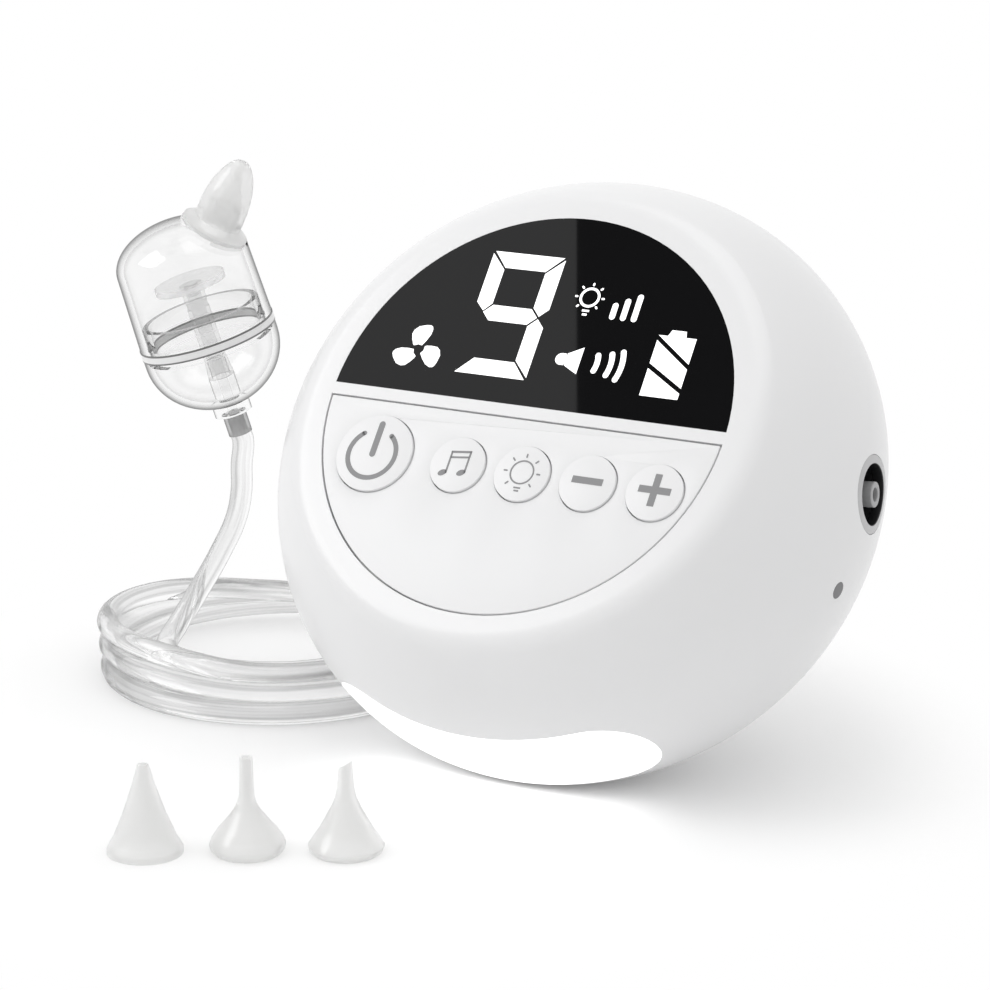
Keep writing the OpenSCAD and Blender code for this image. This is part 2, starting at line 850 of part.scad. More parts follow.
module pump_diaphragm() {
    color("darkgray") pump_frame() translate([0, 0, head_end]) cylinder(r = diaphragm_r, h = diaphragm_t);
}

module pump_cap() {
    color("black") pump_frame() translate([0, 0, cap_start]) difference() {
        union() {
            translate([-head_half, -head_half, 0]) cube([2 * head_half, 2 * head_half, cap_len]);
            for (y = [-1, 1]) translate([0, y * nipple_y, 0])
                cylinder(r = nipple_r, h = cap_len + nipple_len);
        }
        for (y = [-1, 1]) translate([0, y * nipple_y, valve_depth]) cylinder(r = nipple_bore_r, h = far);
        for (a = [45:90:315]) rotate([0, 0, a]) translate([pump_screw_ring, 0, -1])
            cylinder(r = screw_r + sleeve_gap, h = far);
    }
}

module pump_screws() {
    color("silver") pump_frame() for (a = [45:90:315]) rotate([0, 0, a])
        translate([pump_screw_ring, 0, head_end - pump_screw_grip]) {
            cylinder(r = screw_r, h = cap_end - head_end + pump_screw_grip);
            translate([0, 0, cap_end - head_end + pump_screw_grip])
                cylinder(r = screw_head_r, h = screw_head_h);
        }
}

// ---- Battery, speaker and charging socket ----

module battery_cell() {
    color("steelblue") face_frame() translate([-cell_len / 2, cell_y, cell_z]) rotate([0, 90, 0])
        cylinder(r = cell_r, h = cell_len);
}

module battery_cradle() {
    low = light_board_y + board_t;
    shelf = 2;
    color("dimgray") face_frame() difference() {
        union() {
            translate([-cradle_base[0] / 2, cell_y - cradle_base[1] / 2, cradle_back]) cube(cradle_base);
            for (x = [-cradle_arm_x - cradle_arm, cradle_arm_x]) translate([x, low, cradle_back + shelf]) {
                cube([cradle_arm, cell_y - low, shelf]);
                cube([cradle_arm, cradle_finger, cell_z - cradle_back + light_board_half[1] + 0.5]);
            }
        }
        translate([-far, cell_y, cell_z]) rotate([0, 90, 0]) cylinder(r = cell_r + rest_gap, h = 2 * far);
    }
}

module speaker() {
    color("black") face_frame() translate([0, 0, speaker_front]) cylinder(r = speaker_r, h = speaker_t);
}

// Round-ended outline of the charging socket, grown by a margin
module usb_outline(margin) {
    square([2 * (usb_half[0] - usb_half[1]), 2 * (usb_half[1] + margin)], center = true);
    for (x = [-1, 1]) translate([x * (usb_half[0] - usb_half[1]), 0])
        circle(r = usb_half[1] + margin, $fn = 24);
}

module usb_socket() {
    skin = 0.4;
    color("silver") face_frame() translate([0, usb_y, usb_face]) difference() {
        linear_extrude(usb_len) usb_outline(0);
        translate([0, 0, -1]) linear_extrude(usb_len) usb_outline(-skin);
    }
}

module usb_board() {
    color("green") face_frame()
        translate([-usb_board_w / 2, usb_y - usb_half[1] - board_t, usb_face + usb_board_in])
            cube([usb_board_w, board_t, usb_board_end - usb_face - usb_board_in]);
}

module shell_screws() {
    color("silver") face_frame() for (a = shell_screw_angles) rotate([0, 0, a])
        translate([shell_screw_ring, 0, -seam_back - boss_floor - screw_head_h]) {
            cylinder(r = screw_head_r, h = screw_head_h);
            cylinder(r = screw_r, h = screw_len - screw_tip_gap);
        }
}

// ---- Collection cup ----

// Turned form of the bowl, set in by a distance
module bowl_form(inset, top) {
    r = cup_r - inset;
    h = bowl_depth - bowl_straight - inset;
    rotate_extrude()
        polygon(concat([[0, -bowl_straight - h]],
            [for (a = [-84:6:0]) [r * cos(a), -bowl_straight + h * sin(a)]], [[r, top], [0, top]]));
}

// Turned form of the dome, set in by a distance
module dome_form(inset, bottom) {
    r = dome_r_top - inset;
    h = dome_height - dome_straight - inset;
    rotate_extrude()
        polygon(concat([[0, bottom], [cup_r - inset, bottom]],
            [for (a = [0:6:84]) [r * cos(a), dome_straight + h * sin(a)]], [[0, dome_straight + h]]));
}

module cup_bowl() {
    color([0.9, 0.95, 1, 0.4]) cup_frame() difference() {
        union() {
            difference() {
                bowl_form(0, -seal_h / 2);
                bowl_form(cup_wall, far);
            }
            translate([0, 0, -seal_h / 2 - cup_wall]) {
                tube(neck_r, neck_r - neck_wall, neck_h + seal_h / 2 + cup_wall);
                tube(cup_r - cup_wall / 2, neck_r - neck_wall, cup_wall);
            }
            translate([0, 0, -sleeve_top]) cylinder(r = collar_r, h = collar_h + cup_wall);
            translate([0, 0, -sleeve_top - bowl_nipple_h])
                cylinder(r = nipple_hose_r, h = bowl_nipple_h + eps);
            translate([0, 0, -bowl_depth + cup_wall / 2])
                cylinder(r = stem_wide_r, h = bowl_depth + socket_top - cup_wall / 2);
            translate([0, 0, socket_top - eps]) cylinder(r = plug_r, h = plug_h);
        }
        translate([0, 0, -far]) cylinder(r = outlet_bore_r, h = 2 * far);
    }
}

// Dome cut off square to the spout, at a height over its seat
module cut_dome(inset, bottom, over_seat) {
    difference() {
        cup_frame() dome_form(inset, bottom);
        spout_frame() translate([-far / 2, -far / 2, over_seat]) cube(far);
    }
}

module cup_dome() {
    color([0.9, 0.95, 1, 0.4]) difference() {
        union() {
            cut_dome(0, seal_h / 2, 0);
            spout_frame() translate([0, 0, -spout_seat_h]) cylinder(r = spout_seat_r, h = spout_seat_h);
            spout_frame() cylinder(r = spout_r, h = spout_len);
        }
        cut_dome(cup_wall, -1, -cup_wall);
        spout_frame() translate([0, 0, -spout_len]) cylinder(r = spout_bore_r, h = far);
    }
}

module cup_seal_ring() {
    color("gray") cup_frame() translate([0, 0, -seal_h / 2])
        tube(cup_r + 0.1, neck_r + sleeve_gap, seal_h - sleeve_gap);
}

module standpipe() {
    side_hole_r = 0.9;
    side_hole_down = 4;
    color("whitesmoke") cup_frame() difference() {
        union() {
            translate([0, 0, socket_top]) cylinder(r = stem_r, h = stem_top - socket_top);
            translate([0, 0, socket_top]) cylinder(r1 = stem_wide_r, r2 = stem_r, h = stem_wide_h);
        }
        translate([0, 0, socket_top - 1]) cylinder(r = stem_bore_r, h = far);
        translate([0, 0, socket_top - 1]) cylinder(r = plug_r + sleeve_gap, h = plug_h + 1.5);
        translate([-far, 0, stem_top - side_hole_down]) rotate([0, 90, 0])
            cylinder(r = side_hole_r, h = 2 * far);
    }
}

module baffle_disc() {
    color("whitesmoke") cup_frame() translate([0, 0, stem_top]) {
        cylinder(r = baffle_r, h = baffle_t);
        translate([0, 0, -baffle_plug_h]) cylinder(r = stem_bore_r - sleeve_gap, h = baffle_plug_h + eps);
    }
}

// ---- Nozzle and spare tips ----

module nozzle() {
    bulb_r = tip_r - nozzle_step;
    color([0.95, 0.95, 0.93, 0.9]) spout_frame() translate([0, 0, slip]) difference() {
        union() {
            cylinder(r = tip_r, h = lip_h);
            translate([0, 0, lip_h - eps])
                cylinder(r1 = tip_r, r2 = bulb_r - nozzle_tuck, h = nozzle_flare);
            rotate([0, -nozzle_bend, 0]) turned(nozzle_shape, bulb_r, nozzle_len);
        }
        translate([0, 0, -1]) cylinder(r = spout_r + slip, h = spout_len + 1 + 3 * slip);
        rotate([0, -nozzle_bend, 0]) {
            translate([0, 0, spout_len])
                cylinder(r1 = spout_r + slip, r2 = tip_hole_r, h = nozzle_len - spout_len - nozzle_lead);
            cylinder(r = tip_hole_r, h = far);
        }
    }
}

module cone_tip() {
    color([0.95, 0.95, 0.95, 0.9]) translate(cone_tip_pos) {
        hollow_tip(cone_shape, cone_tip_h);
        tube(tip_r, tip_r - tip_wall, lip_h);
    }
}

module long_tip() {
    color([0.95, 0.95, 0.95, 0.9]) translate(long_tip_pos) hollow_tip(long_shape, long_tip_h);
}

module short_tip() {
    color([0.95, 0.95, 0.95, 0.9]) translate(short_tip_pos) difference() {
        hollow_tip(short_shape, short_tip_h);
        translate([-tip_r * short_shape[len(short_shape) - 1][0], -tip_r, short_tip_h - short_cut_down])
            rotate([0, -short_cut, 0]) cube([far, 2 * tip_r, far]);
    }
}

// ---- Hose ----

module hose_sleeve() {
    color("silver") cup_frame() translate([0, 0, -sleeve_top - sleeve_len])
        tube(sleeve_r, nipple_hose_r + sleeve_gap, sleeve_len);
}

module hose_tube() {
    color([0.9, 0.95, 1, 0.5])
        swept_tube(concat([hose_start, hose_next], hose_route), hose_d / 2, hose_sides);
}

module hose_coil() {
    color([0.9, 0.95, 1, 0.5]) translate([coil_pos[0], coil_pos[1], 0]) rotate_extrude($fn = 64)
        polygon([
            [coil_bore_r, coil_edge], [coil_bore_r + coil_edge, 0], [coil_r - coil_edge, 0],
            [coil_r, coil_edge], [coil_r, coil_h - hose_d], [coil_r - 3 * coil_edge, coil_h],
            [coil_bore_r + hose_d, coil_h], [coil_bore_r, coil_h - coil_edge - hose_d / 2]
        ]);
}

front_shell();
rear_cover();
base_foot();
display_window();
control_panel();
power_button();
music_button();
light_button();
minus_button();
plus_button();
keypad_mat();
key_switches();
display_board();
display_block();
board_screws();
night_light_lens();
light_board();
glow_leds();
charge_light();
port_ring();
port_cup();
air_spigot();
suction_tube();
pump_bracket();
pump_motor();
pump_rotor();
pump_head();
pump_diaphragm();
pump_cap();
pump_screws();
battery_cell();
battery_cradle();
speaker();
usb_socket();
usb_board();
shell_screws();
cup_dome();
cup_bowl();
cup_seal_ring();
standpipe();
baffle_disc();
hose_sleeve();
hose_tube();
hose_coil();
nozzle();
cone_tip();
long_tip();
short_tip();
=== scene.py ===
import json
import math

import bmesh
import bpy
from mathutils import Matrix, Vector
from mathutils.bvhtree import BVHTree


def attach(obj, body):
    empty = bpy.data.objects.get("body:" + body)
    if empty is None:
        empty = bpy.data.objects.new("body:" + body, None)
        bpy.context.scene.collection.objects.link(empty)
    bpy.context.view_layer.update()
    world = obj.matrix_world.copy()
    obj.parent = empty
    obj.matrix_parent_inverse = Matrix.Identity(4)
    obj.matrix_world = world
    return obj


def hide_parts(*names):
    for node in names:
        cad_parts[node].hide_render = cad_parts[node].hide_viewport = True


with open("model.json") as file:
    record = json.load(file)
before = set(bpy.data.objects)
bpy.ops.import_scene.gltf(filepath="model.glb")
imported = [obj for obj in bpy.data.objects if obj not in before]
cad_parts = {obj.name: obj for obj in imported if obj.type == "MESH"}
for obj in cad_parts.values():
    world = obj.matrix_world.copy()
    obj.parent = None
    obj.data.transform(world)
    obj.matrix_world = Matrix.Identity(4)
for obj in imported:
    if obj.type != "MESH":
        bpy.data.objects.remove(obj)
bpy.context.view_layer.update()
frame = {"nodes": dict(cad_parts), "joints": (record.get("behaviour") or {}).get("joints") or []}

# ---- Camera ----
# The photograph looks down on the unit from its right front through a long lens. The camera aims at a
# point beside the middle of the housing. Places are in metres. Only the image points are in pixels.
PHOTO_W, PHOTO_H = 990, 990
IMAGE_POINTS = {
    "housing_left": (276.8, None), "housing_right": (888.4, None),
    "housing_top": (None, 181.5), "housing_bottom": (None, 785.3),
    "digit": (510.2, 315.6), "fan_sign": (416.3, 346.2), "lamp_sign": (590.0, 299.4),
    "level_sign": (626.5, 308.5), "sound_sign": (590.9, 365.1), "battery_sign": (668.0, 365.2),
    "power_mark": (371.9, 450.6), "music_mark": (455.0, 463.3), "light_mark": (522.0, 472.8),
    "minus_mark": (587.4, 480.8), "plus_mark": (654.7, 490.3),
    "port_ring": (872.0, 494.5), "charge_light": (837.3, 589.0),
    "nozzle": (217.0, 202.0), "cone_tip": (146.5, 812.0), "short_tip": (347.0, 810.0),
}
MM = 0.001
joints = {j["name"]: j for j in frame["joints"]}

# The face's own axes: right, up the face and out of it. Its middle comes from the round display window.
face_out = -Vector(joints["power_press"]["axis"]).normalized()
face_right = Vector((1, 0, 0))
face_up = face_out.cross(face_right)
window_points = [v.co for v in frame["nodes"]["display_window"].data.vertices]
window_r = max(abs(p.x) for p in window_points)
face_middle = (face_up * (max(p.dot(face_up) for p in window_points) - window_r)
               + face_out * max(p.dot(face_out) for p in window_points))
face_height = 28.8 * MM
housing_middle = face_middle - face_out * face_height

camera_azimuth, camera_elevation = math.radians(28.95), math.radians(15.26)
camera_distance, camera_lens, sensor_width = 0.650, 123.34, 36.0
aim_right, aim_up = -16.06 * MM, -3.01 * MM
camera_back = Vector((math.sin(camera_azimuth) * math.cos(camera_elevation),
                      -math.cos(camera_azimuth) * math.cos(camera_elevation),
                      math.sin(camera_elevation)))
camera_right = Vector((math.cos(camera_azimuth), math.sin(camera_azimuth), 0))
camera_up = camera_back.cross(camera_right)
camera_data = bpy.data.cameras.new("photo_camera")
camera_data.lens, camera_data.sensor_width, camera_data.sensor_fit = camera_lens, sensor_width, "AUTO"
camera = bpy.data.objects.new("photo_camera", camera_data)
bpy.context.scene.collection.objects.link(camera)
camera.location = (housing_middle + camera_right * aim_right + camera_up * aim_up
                   + camera_back * camera_distance)
camera.rotation_mode = "QUATERNION"
camera.rotation_quaternion = Matrix((camera_right, camera_up, camera_back)).transposed().to_quaternion()
bpy.context.scene.camera = camera
bpy.context.view_layer.update()


def camera_ray(x, y):
    """Direction from the camera through a point of the photograph."""
    side = max(PHOTO_W, PHOTO_H)
    ray = Vector((x - PHOTO_W / 2 + camera_data.shift_x * side,
                  PHOTO_H / 2 - y + camera_data.shift_y * side,
                  -side * camera_data.lens / camera_data.sensor_width))
    return (camera.matrix_world.to_3x3() @ ray).normalized()


def in_photo(point):
    """Where a point of the frame shows in the photograph."""
    p = camera.matrix_world.inverted() @ Vector(point)
    side = max(PHOTO_W, PHOTO_H)
    scale = side * camera_data.lens / camera_data.sensor_width / -p.z
    return (PHOTO_W / 2 + p.x * scale - camera_data.shift_x * side,
            PHOTO_H / 2 - p.y * scale + camera_data.shift_y * side)


def tree_of(*objects):
    """One search tree over the finished meshes of some objects, in the frame."""
    verts, faces = [], []
    for o in objects:
        start = len(verts)
        verts += [o.matrix_world @ v.co for v in o.data.vertices]
        faces += [[start + i for i in p.vertices] for p in o.data.polygons]
    return BVHTree.FromPolygons(verts, faces)


def on_surface(x, y, *carriers):
    """The place on its carriers that a point of the photograph sees, or the nearest one to its ray."""
    tree, ray = tree_of(*carriers), camera_ray(x, y)
    hit = tree.ray_cast(camera.location, ray)[0]
    if hit is None:
        near = camera.location + ray * (housing_middle - camera.location).dot(ray)
        hit = tree.find_nearest(near)[0]
    return hit


# ---- Hose ----
# One length of soft clear silicone tube, 4.5 mm outside. It leaves the sleeve under the cup, comes down
# in a slow bend and lies in a coil beside the unit. Its free end is cut bare, to push on the air port.
hose_d = 4.5 * MM
cup_up = Vector(joints["dome_lift"]["axis"]).normalized()


def end_of(node, direction):
    """Middle of the end face of a straight round piece, on the side that a direction points to."""
    points = [v.co for v in frame["nodes"][node].data.vertices]
    reach = max(p.dot(direction) for p in points)
    rim = [p for p in points if p.dot(direction) > reach - 0.01 * MM]
    return sum(rim, Vector()) / len(rim)


hose_exit = end_of("hose_sleeve", -cup_up)
hose_route = [hose_exit, hose_exit - cup_up * hose_d / 3] + [Vector(p) * MM for p in (
    (-81.35, 8.4, 44.5), (-81.4, 8.2, 39), (-82.6, 7.9, 33.2), (-85.6, 6.6, 26), (-89.9, 3.8, 17),
    (-92.5, 0, 10.5), (-92.5, -4, 7.7), (-90.5, -6.5, 7))]

# The coil's turns lie beside and on each other, a hose width apart, more upright on the left and
# flatter in front, and each steps down to the next behind the coil.
coil_middle = Vector((-76, 13, 0)) * MM
coil_away = Vector((-camera_right.y, camera_right.x, 0))
coil_inner, inner_height = 24.2 * MM, 7.0 * MM
turn_pitch = 4.57 * MM
top_level, stacked_levels = 3, 2
first_angle, last_angle, angle_step, hidden_start = 45, 1230, 15, 150
lean_by_angle = ((0, -0.3), (90, 3.4), (180, 3.8), (270, 2.9), (360, -0.3))
outer_by_angle = ((0, 34.75), (90, 36.1), (180, 35.75), (270, 35.75), (360, 34.75))


def round_coil(stations, angle):
    """A size in mm that changes smoothly round the coil, from a list of angles and sizes."""
    for (a, low), (b, high) in zip(stations, stations[1:]):
        if a <= angle <= b:
            share = (1 - math.cos(math.pi * (angle - a) / (b - a))) / 2
            return (low + (high - low) * share) * MM


def coil_point(total_angle):
    """A place on the coil's middle line. It starts in the inner turn and ends in the lowest one."""
    turn, angle = divmod(total_angle, 360)
    ramp = max(0, (angle - hidden_start) / (360 - hidden_start))
    level = top_level - turn - ramp * ramp * (3 - 2 * ramp)
    lean = round_coil(lean_by_angle, angle)
    rise = math.sqrt(turn_pitch ** 2 - lean ** 2)
    stacked = min(level, stacked_levels)
    radius = round_coil(outer_by_angle, angle) - lean * stacked
    height = hose_d / 2 + rise * stacked
    inner = max(level - stacked_levels, 0)
    radius += (coil_inner - radius) * inner
    height += (inner_height - height) * inner
    turned = math.radians(angle)
    flat = camera_right * -math.cos(turned) - coil_away * math.sin(turned)
    return coil_middle + flat * radius + Vector((0, 0, height))


coil_steps = round((last_angle - first_angle) / angle_step)
hose_points = hose_route + [
    coil_point(first_angle + (last_angle - first_angle) * i / coil_steps) for i in range(coil_steps + 1)]
hose_curve = bpy.data.curves.new("clear_hose", "CURVE")
hose_curve.dimensions, hose_curve.bevel_depth = "3D", hose_d / 2
hose_curve.bevel_resolution, hose_curve.resolution_u, hose_curve.use_fill_caps = 8, 8, True
hose_line = hose_curve.splines.new("BEZIER")
hose_line.bezier_points.add(len(hose_points) - 1)
for knot, place in zip(hose_line.bezier_points, hose_points):
    knot.co, knot.handle_left_type, knot.handle_right_type = place, "AUTO", "AUTO"
hose = bpy.data.objects.new("clear_hose", hose_curve)
bpy.context.scene.collection.objects.link(hose)


def clear(name, colour, edge, edge_from, ior, roughness, edge_to=1.0, **sockets):
    """A clear finish. Its colour goes from `colour` to `edge` between two slopes, where 0 faces the eye
    and 1 is edge-on: painted shade at the outline where `edge` is darker, painted sheen where it is
    lighter. Its coat glints where it faces the eye, and lamps shine through it onto what is behind."""
    material = bpy.data.materials.new(name)
    material.use_nodes = True
    tree = material.node_tree
    shader, output = tree.nodes["Principled BSDF"], tree.nodes["Material Output"]
    sockets = {"IOR": ior, "Roughness": roughness, "Transmission_Weight": 1.0, **sockets}
    for socket, value in sockets.items():
        shader.inputs[socket.replace("_", " ")].default_value = value
    turned_away, painted_edge, tint = [tree.nodes.new(kind) for kind in (
        "ShaderNodeLayerWeight", "ShaderNodeMapRange", "ShaderNodeMix")]
    painted_edge.interpolation_type = "SMOOTHSTEP"
    painted_edge.inputs["From Min"].default_value, painted_edge.inputs["From Max"].default_value = edge_from, edge_to
    tint.name, tint.data_type = "tint", "RGBA"
    tint.inputs["A"].default_value, tint.inputs["B"].default_value = (*colour, 1), (*edge, 1)
    glint_full, glint_gone = 0.3, 0.6
    glint = tree.nodes.new("ShaderNodeMapRange")
    glint.inputs["From Min"].default_value = glint_full
    glint.inputs["From Max"].default_value = glint_gone
    glint.inputs["To Min"].default_value, glint.inputs["To Max"].default_value = 1, 0
    tree.links.new(turned_away.outputs["Facing"], glint.inputs["Value"])
    tree.links.new(glint.outputs["Result"], shader.inputs["Coat Weight"])
    tree.links.new(turned_away.outputs["Facing"], painted_edge.inputs["Value"])
    tree.links.new(painted_edge.outputs["Result"], tint.inputs["Factor"])
    tree.links.new(tint.outputs["Result"], shader.inputs["Base Color"])
    path, unseen, passing, mixed = [tree.nodes.new(kind) for kind in (
        "ShaderNodeLightPath", "ShaderNodeMath", "ShaderNodeBsdfTransparent", "ShaderNodeMixShader")]
    unseen.operation = "MAXIMUM"
    tree.links.new(path.outputs["Is Shadow Ray"], unseen.inputs[0])
    tree.links.new(path.outputs["Is Diffuse Ray"], unseen.inputs[1])
    lamp_share = 0.9
    passing.inputs["Color"].default_value = (*[lamp_share * c for c in colour], 1)
    tree.links.new(unseen.outputs[0], mixed.inputs["Fac"])
    tree.links.new(shader.outputs[0], mixed.inputs[1])
    tree.links.new(passing.outputs[0], mixed.inputs[2])
    tree.links.new(mixed.outputs[0], output.inputs["Surface"])
    return material


# The tube's wall bends what is behind it into long grey streaks, drawn here along its length.
# Its outline is painted near black, a painted shade.
hose_clear = clear("clear_silicone", (0.98, 0.98, 0.98), (0.05, 0.05, 0.05), edge_from=0.48, ior=1.25,
                   roughness=0.05)
tree = hose_clear.node_tree
shader, tint = tree.nodes["Principled BSDF"], tree.nodes["tint"]
place, stretch, streaks, strength, streaked = [tree.nodes.new("ShaderNode" + kind) for kind in (
    "TexCoord", "Mapping", "TexNoise", "MapRange", "Mix")]
streak_stretch, streak_from, streak_full = (4, 7, 1), 0.48, 0.66
stretch.inputs["Scale"].default_value = streak_stretch
streaks.inputs["Scale"].default_value, streaks.inputs["Detail"].default_value = 1.0, 2.0
strength.inputs["From Min"].default_value = streak_from
strength.inputs["From Max"].default_value = streak_full
streaked.data_type = "RGBA"
streaked.inputs["B"].default_value = (0.38, 0.38, 0.38, 1)
tree.links.new(place.outputs["UV"], stretch.inputs["Vector"])
tree.links.new(stretch.outputs["Vector"], streaks.inputs["Vector"])
tree.links.new(streaks.outputs["Fac"], strength.inputs["Value"])
tree.links.new(strength.outputs["Result"], streaked.inputs["Factor"])
tree.links.new(tint.outputs["Result"], streaked.inputs["A"])
tree.links.new(streaked.outputs["Result"], shader.inputs["Base Color"])

# Light that has crossed many walls of the bent tube reaches the eye as a plain grey.
few_walls, many_walls, scattered_grey = 4, 7, 0.3
path, scattered = tree.nodes.new("ShaderNodeLightPath"), tree.nodes.new("ShaderNodeMapRange")
scattered.inputs["From Min"].default_value = few_walls
scattered.inputs["From Max"].default_value = many_walls
scattered.inputs["To Max"].default_value = scattered_grey
tree.links.new(path.outputs["Ray Depth"], scattered.inputs["Value"])
tree.links.new(scattered.outputs["Result"], shader.inputs["Emission Strength"])
hose_curve.materials.append(hose_clear)
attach(hose, "main_unit")
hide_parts("hose_tube", "hose_coil")

# ---- Housing ----
# Two injection moulded shells in glossy white ABS, screwed together from behind. The mould leaves a
# very fine unevenness, which one shader group gives to every moulded piece as a height and a mask.


def build_grain_group():
    """The shader group: two scales of noise in the object's own frame."""
    tree = bpy.data.node_groups.new("surface_grain", "ShaderNodeTree")
    for name, value in (("Grain Scale", 900), ("Patch Scale", 60)):
        socket = tree.interface.new_socket(name, in_out="INPUT", socket_type="NodeSocketFloat")
        socket.default_value = value
    for name in ("Height", "Patches"):
        tree.interface.new_socket(name, in_out="OUTPUT", socket_type="NodeSocketFloat")
    given, made = tree.nodes.new("NodeGroupInput"), tree.nodes.new("NodeGroupOutput")
    place = tree.nodes.new("ShaderNodeTexCoord")
    for scale, result, detail in (("Grain Scale", "Height", 3), ("Patch Scale", "Patches", 2)):
        noise = tree.nodes.new("ShaderNodeTexNoise")
        noise.inputs["Detail"].default_value = detail
        tree.links.new(place.outputs["Object"], noise.inputs["Vector"])
        tree.links.new(given.outputs[scale], noise.inputs["Scale"])
        tree.links.new(noise.outputs["Fac"], made.inputs[result])
    return tree


grain_group = build_grain_group()


def add_grain(material, grain, patch, bump):
    """Gives a material the fine grain as relief, and returns the group that makes it."""
    tree = material.node_tree
    texture = tree.nodes.new("ShaderNodeGroup")
    texture.node_tree = grain_group
    texture.inputs["Grain Scale"].default_value = grain
    texture.inputs["Patch Scale"].default_value = patch
    relief = tree.nodes.new("ShaderNodeBump")
    relief.inputs["Strength"].default_value = bump
    relief.inputs["Distance"].default_value = 0.1 * MM
    tree.links.new(texture.outputs["Height"], relief.inputs["Height"])
    tree.links.new(relief.outputs["Normal"], tree.nodes["Principled BSDF"].inputs["Normal"])
    return texture


def finish(name, colour, roughness, uneven=0.03, grain=900, patch=60, bump=0.05, tint=0.97,
           **sockets):
    """A finish with a fine grain, gloss that wanders by `uneven`, and colour that dips to `tint`."""
    material = bpy.data.materials.new(name)
    material.use_nodes = True
    tree = material.node_tree
    shader = tree.nodes["Principled BSDF"]
    texture = add_grain(material, grain, patch, bump)
    gloss = tree.nodes.new("ShaderNodeMapRange")
    gloss.inputs["To Min"].default_value = max(0, roughness - uneven)
    gloss.inputs["To Max"].default_value = roughness + uneven
    tree.links.new(texture.outputs["Patches"], gloss.inputs["Value"])
    tree.links.new(gloss.outputs["Result"], shader.inputs["Roughness"])
    shade = tree.nodes.new("ShaderNodeMix")
    shade.data_type = "RGBA"
    shade.inputs["A"].default_value = (*[c * tint for c in colour], 1)
    shade.inputs["B"].default_value = (*colour, 1)
    tree.links.new(texture.outputs["Patches"], shade.inputs["Factor"])
    tree.links.new(shade.outputs["Result"], shader.inputs["Base Color"])
    for socket, value in sockets.items():
        shader.inputs[socket.replace("_", " ")].default_value = value
    return material


def paint(material, *nodes, soften=0, crisp=35):
    """Gives CAD nodes a finish and smooths their curved faces; `soften` rounds their sharp edges."""
    for node in nodes:
        o = frame["nodes"][node]
        o.data.materials.clear()
        o.data.materials.append(material)
        o.data.polygons.foreach_set("use_smooth", [True] * len(o.data.polygons))
        weld = o.modifiers.new("weld", "WELD")
        weld.merge_threshold = 0.002 * MM
        if soften:
            bevel = o.modifiers.new("soft_edges", "BEVEL")
            bevel.width, bevel.segments = soften, 3
            bevel.limit_method, bevel.angle_limit = "ANGLE", math.radians(crisp)
        split = o.modifiers.new("crisp_edges", "EDGE_SPLIT")
        split.split_angle = math.radians(crisp)


shell_white = finish("white_shell", (0.87, 0.87, 0.875), 0.3, uneven=0.02, tint=0.985,
                     Coat_Weight=0.25, Coat_Roughness=0.12)
paint(shell_white, "front_shell", "rear_cover")

# The foot is a thin round rubber pad in a recess of the rear cover.
paint(finish("foot_rubber", (0.72, 0.72, 0.72), 0.7, grain=1600, bump=0.3), "base_foot")

# ---- Display ----
# A smoked acrylic window, glued into the face. The signs behind it are lit in white: a single figure,
# a fan, a lamp with three level bars, a sounder with three waves, and a battery.
window_smoke = finish("smoked_window", (0.0075, 0.0075, 0.008), 0.02, uneven=0.01, bump=0.0, IOR=1.37)
paint(window_smoke, "display_window")


def bar(x0, y0, x1, y1, width, round_end=True, steps=8):
    """Outline of a straight stroke in mm, with round or square ends."""
    along = Vector((x1 - x0, y1 - y0)).normalized()
    across = Vector((-along.y, along.x)) * width / 2
    if not round_end:
        return [(x0 + across.x, y0 + across.y), (x0 - across.x, y0 - across.y),
                (x1 - across.x, y1 - across.y), (x1 + across.x, y1 + across.y)]
    turn = math.atan2(across.y, across.x)
    caps = []
    for cx, cy, start in ((x0, y0, turn), (x1, y1, turn + math.pi)):
        caps += [(cx + width / 2 * math.cos(start + math.pi * i / steps),
                  cy + width / 2 * math.sin(start + math.pi * i / steps)) for i in range(steps + 1)]
    return caps


def arc(cx, cy, radius, width, start, end, steps=24, round_end=True):
    """Outlines that make up an arc-shaped stroke in mm, between two angles in degrees."""
    inner, outer = radius - width / 2, radius + width / 2
    angles = [math.radians(start + (end - start) * i / steps) for i in range(steps + 1)]
    shapes = [[(cx + r * math.cos(turn), cy + r * math.sin(turn))
               for r, turn in ((inner, a), (outer, a), (outer, b), (inner, b))]
              for a, b in zip(angles, angles[1:])]
    if round_end:
        shapes += [disc(cx + radius * math.cos(a), cy + radius * math.sin(a), width / 2)
                   for a in (angles[0], angles[-1])]
    return shapes


def disc(cx, cy, radius, steps=20):
    """Outline of a round spot in mm."""
    turns = [2 * math.pi * i / steps for i in range(steps)]
    return [(cx + radius * math.cos(turn), cy + radius * math.sin(turn)) for turn in turns]


